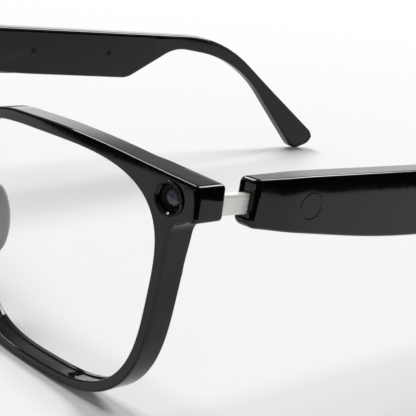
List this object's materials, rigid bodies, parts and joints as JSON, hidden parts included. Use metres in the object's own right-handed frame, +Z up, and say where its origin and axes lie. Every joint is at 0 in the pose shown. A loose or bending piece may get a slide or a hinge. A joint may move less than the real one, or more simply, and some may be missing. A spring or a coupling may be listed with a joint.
{
  "type": "smart glasses",
  "caption": "Glossy black smart glasses with a camera in one endpiece and plug-on arms that fold, slide off metal tongues and hold the electronics.",
  "frame": {"origin": "middle of the bounding box's base, on the surface that the rims and ear tips stand on", "axes": "+X to the wearer's left, +Y backwards along the arms (the front looks along -Y), +Z up"},
  "size_m": [0.1416, 0.1692, 0.0463],
  "materials": {
    "glossy_frame": "polished moulded frame plastic, black",
    "clear_lens": "clear anti-reflective lens",
    "soft_pad": "soft silicone, grey",
    "bezel": "polished black ring",
    "barrel": "matt black lens barrel",
    "camera_optics": "coated glass element",
    "camera_glass": "clear cover glass",
    "board": "solder mask",
    "flex": "polyimide film",
    "hinge_steel": "satin stainless steel",
    "screw_steel": "turned steel",
    "plug_steel": "polished stainless steel",
    "contacts": "gold-plated",
    "glossy_arm": "polished moulded arm plastic, black",
    "satin_cover": "satin black inner cover",
    "socket_plastic": "moulded connector housing",
    "battery_foil": "laminated pouch foil",
    "speaker_case": "speaker housing",
    "grille": "black oxide steel",
    "microphone_can": "plated can",
    "ring_inlay": "gloss black inlay",
    "wire_steel": "spring steel core",
    "button": "satin black key",
    "switch_case": "tact switch body"
  },
  "bodies": {
    "front": {"front_frame": "glossy_frame", "lens_left": "clear_lens", "lens_right": "clear_lens", "nose_pad_left": "soft_pad", "nose_pad_right": "soft_pad", "camera_bezel": "bezel", "camera_barrel": "barrel", "camera_lens": "camera_optics", "camera_cover_glass": "camera_glass", "camera_board": "board", "camera_flex": "flex", "hinge_bracket_left": "hinge_steel", "hinge_bracket_right": "hinge_steel", "hinge_screw_left": "screw_steel", "hinge_screw_right": "screw_steel"},
    "tongue_left": {"plug_left": "plug_steel", "plug_contacts_left": "contacts"},
    "tongue_right": {"plug_right": "plug_steel", "plug_contacts_right": "contacts"},
    "arm_left": {"arm_shell_left": "glossy_arm", "arm_cover_left": "satin_cover", "socket_left": "socket_plastic", "socket_springs_left": "contacts", "circuit_board_left": "board", "battery_left": "battery_foil", "speaker_left": "speaker_case", "speaker_grille_left": "grille", "microphone_left": "microphone_can", "touch_sensor_left": "flex", "touch_ring_left": "ring_inlay", "core_wire_left": "wire_steel", "cover_screws_left": "screw_steel"},
    "arm_right": {"arm_shell_right": "glossy_arm", "arm_cover_right": "satin_cover", "socket_right": "socket_plastic", "socket_springs_right": "contacts", "circuit_board_right": "board", "battery_right": "battery_foil", "speaker_right": "speaker_case", "speaker_grille_right": "grille", "microphone_right": "microphone_can", "touch_sensor_right": "flex", "touch_ring_right": "ring_inlay", "core_wire_right": "wire_steel", "cover_screws_right": "screw_steel", "button_switch": "switch_case"},
    "button": {"function_button": "button"}
  },
  "joints": [
    {"name": "hinge_left", "type": "hinge", "parent": "front", "child": "tongue_left", "pos_m": [0.063, -0.0709, 0.04141], "axis": [0, 0.0178, 0.9998], "range_deg": [0, 88]},
    {"name": "hinge_right", "type": "hinge", "parent": "front", "child": "tongue_right", "pos_m": [-0.063, -0.0709, 0.04141], "axis": [0, 0.0178, 0.9998], "range_deg": [-88, 0]},
    {"name": "slide_left", "type": "slide", "parent": "tongue_left", "child": "arm_left", "axis": [0.0105, 0.9983, -0.0574], "range_m": [-0.0086, 0.006]},
    {"name": "slide_right", "type": "slide", "parent": "tongue_right", "child": "arm_right", "axis": [-0.0105, 0.9983, -0.0574], "range_m": [0, 0.0146]},
    {"name": "button_press", "type": "slide", "parent": "arm_right", "child": "button", "axis": [0, 0.0574, 0.9984], "range_m": [0, 0.0004], "stiffness_N_per_m": 2000}
  ]
}
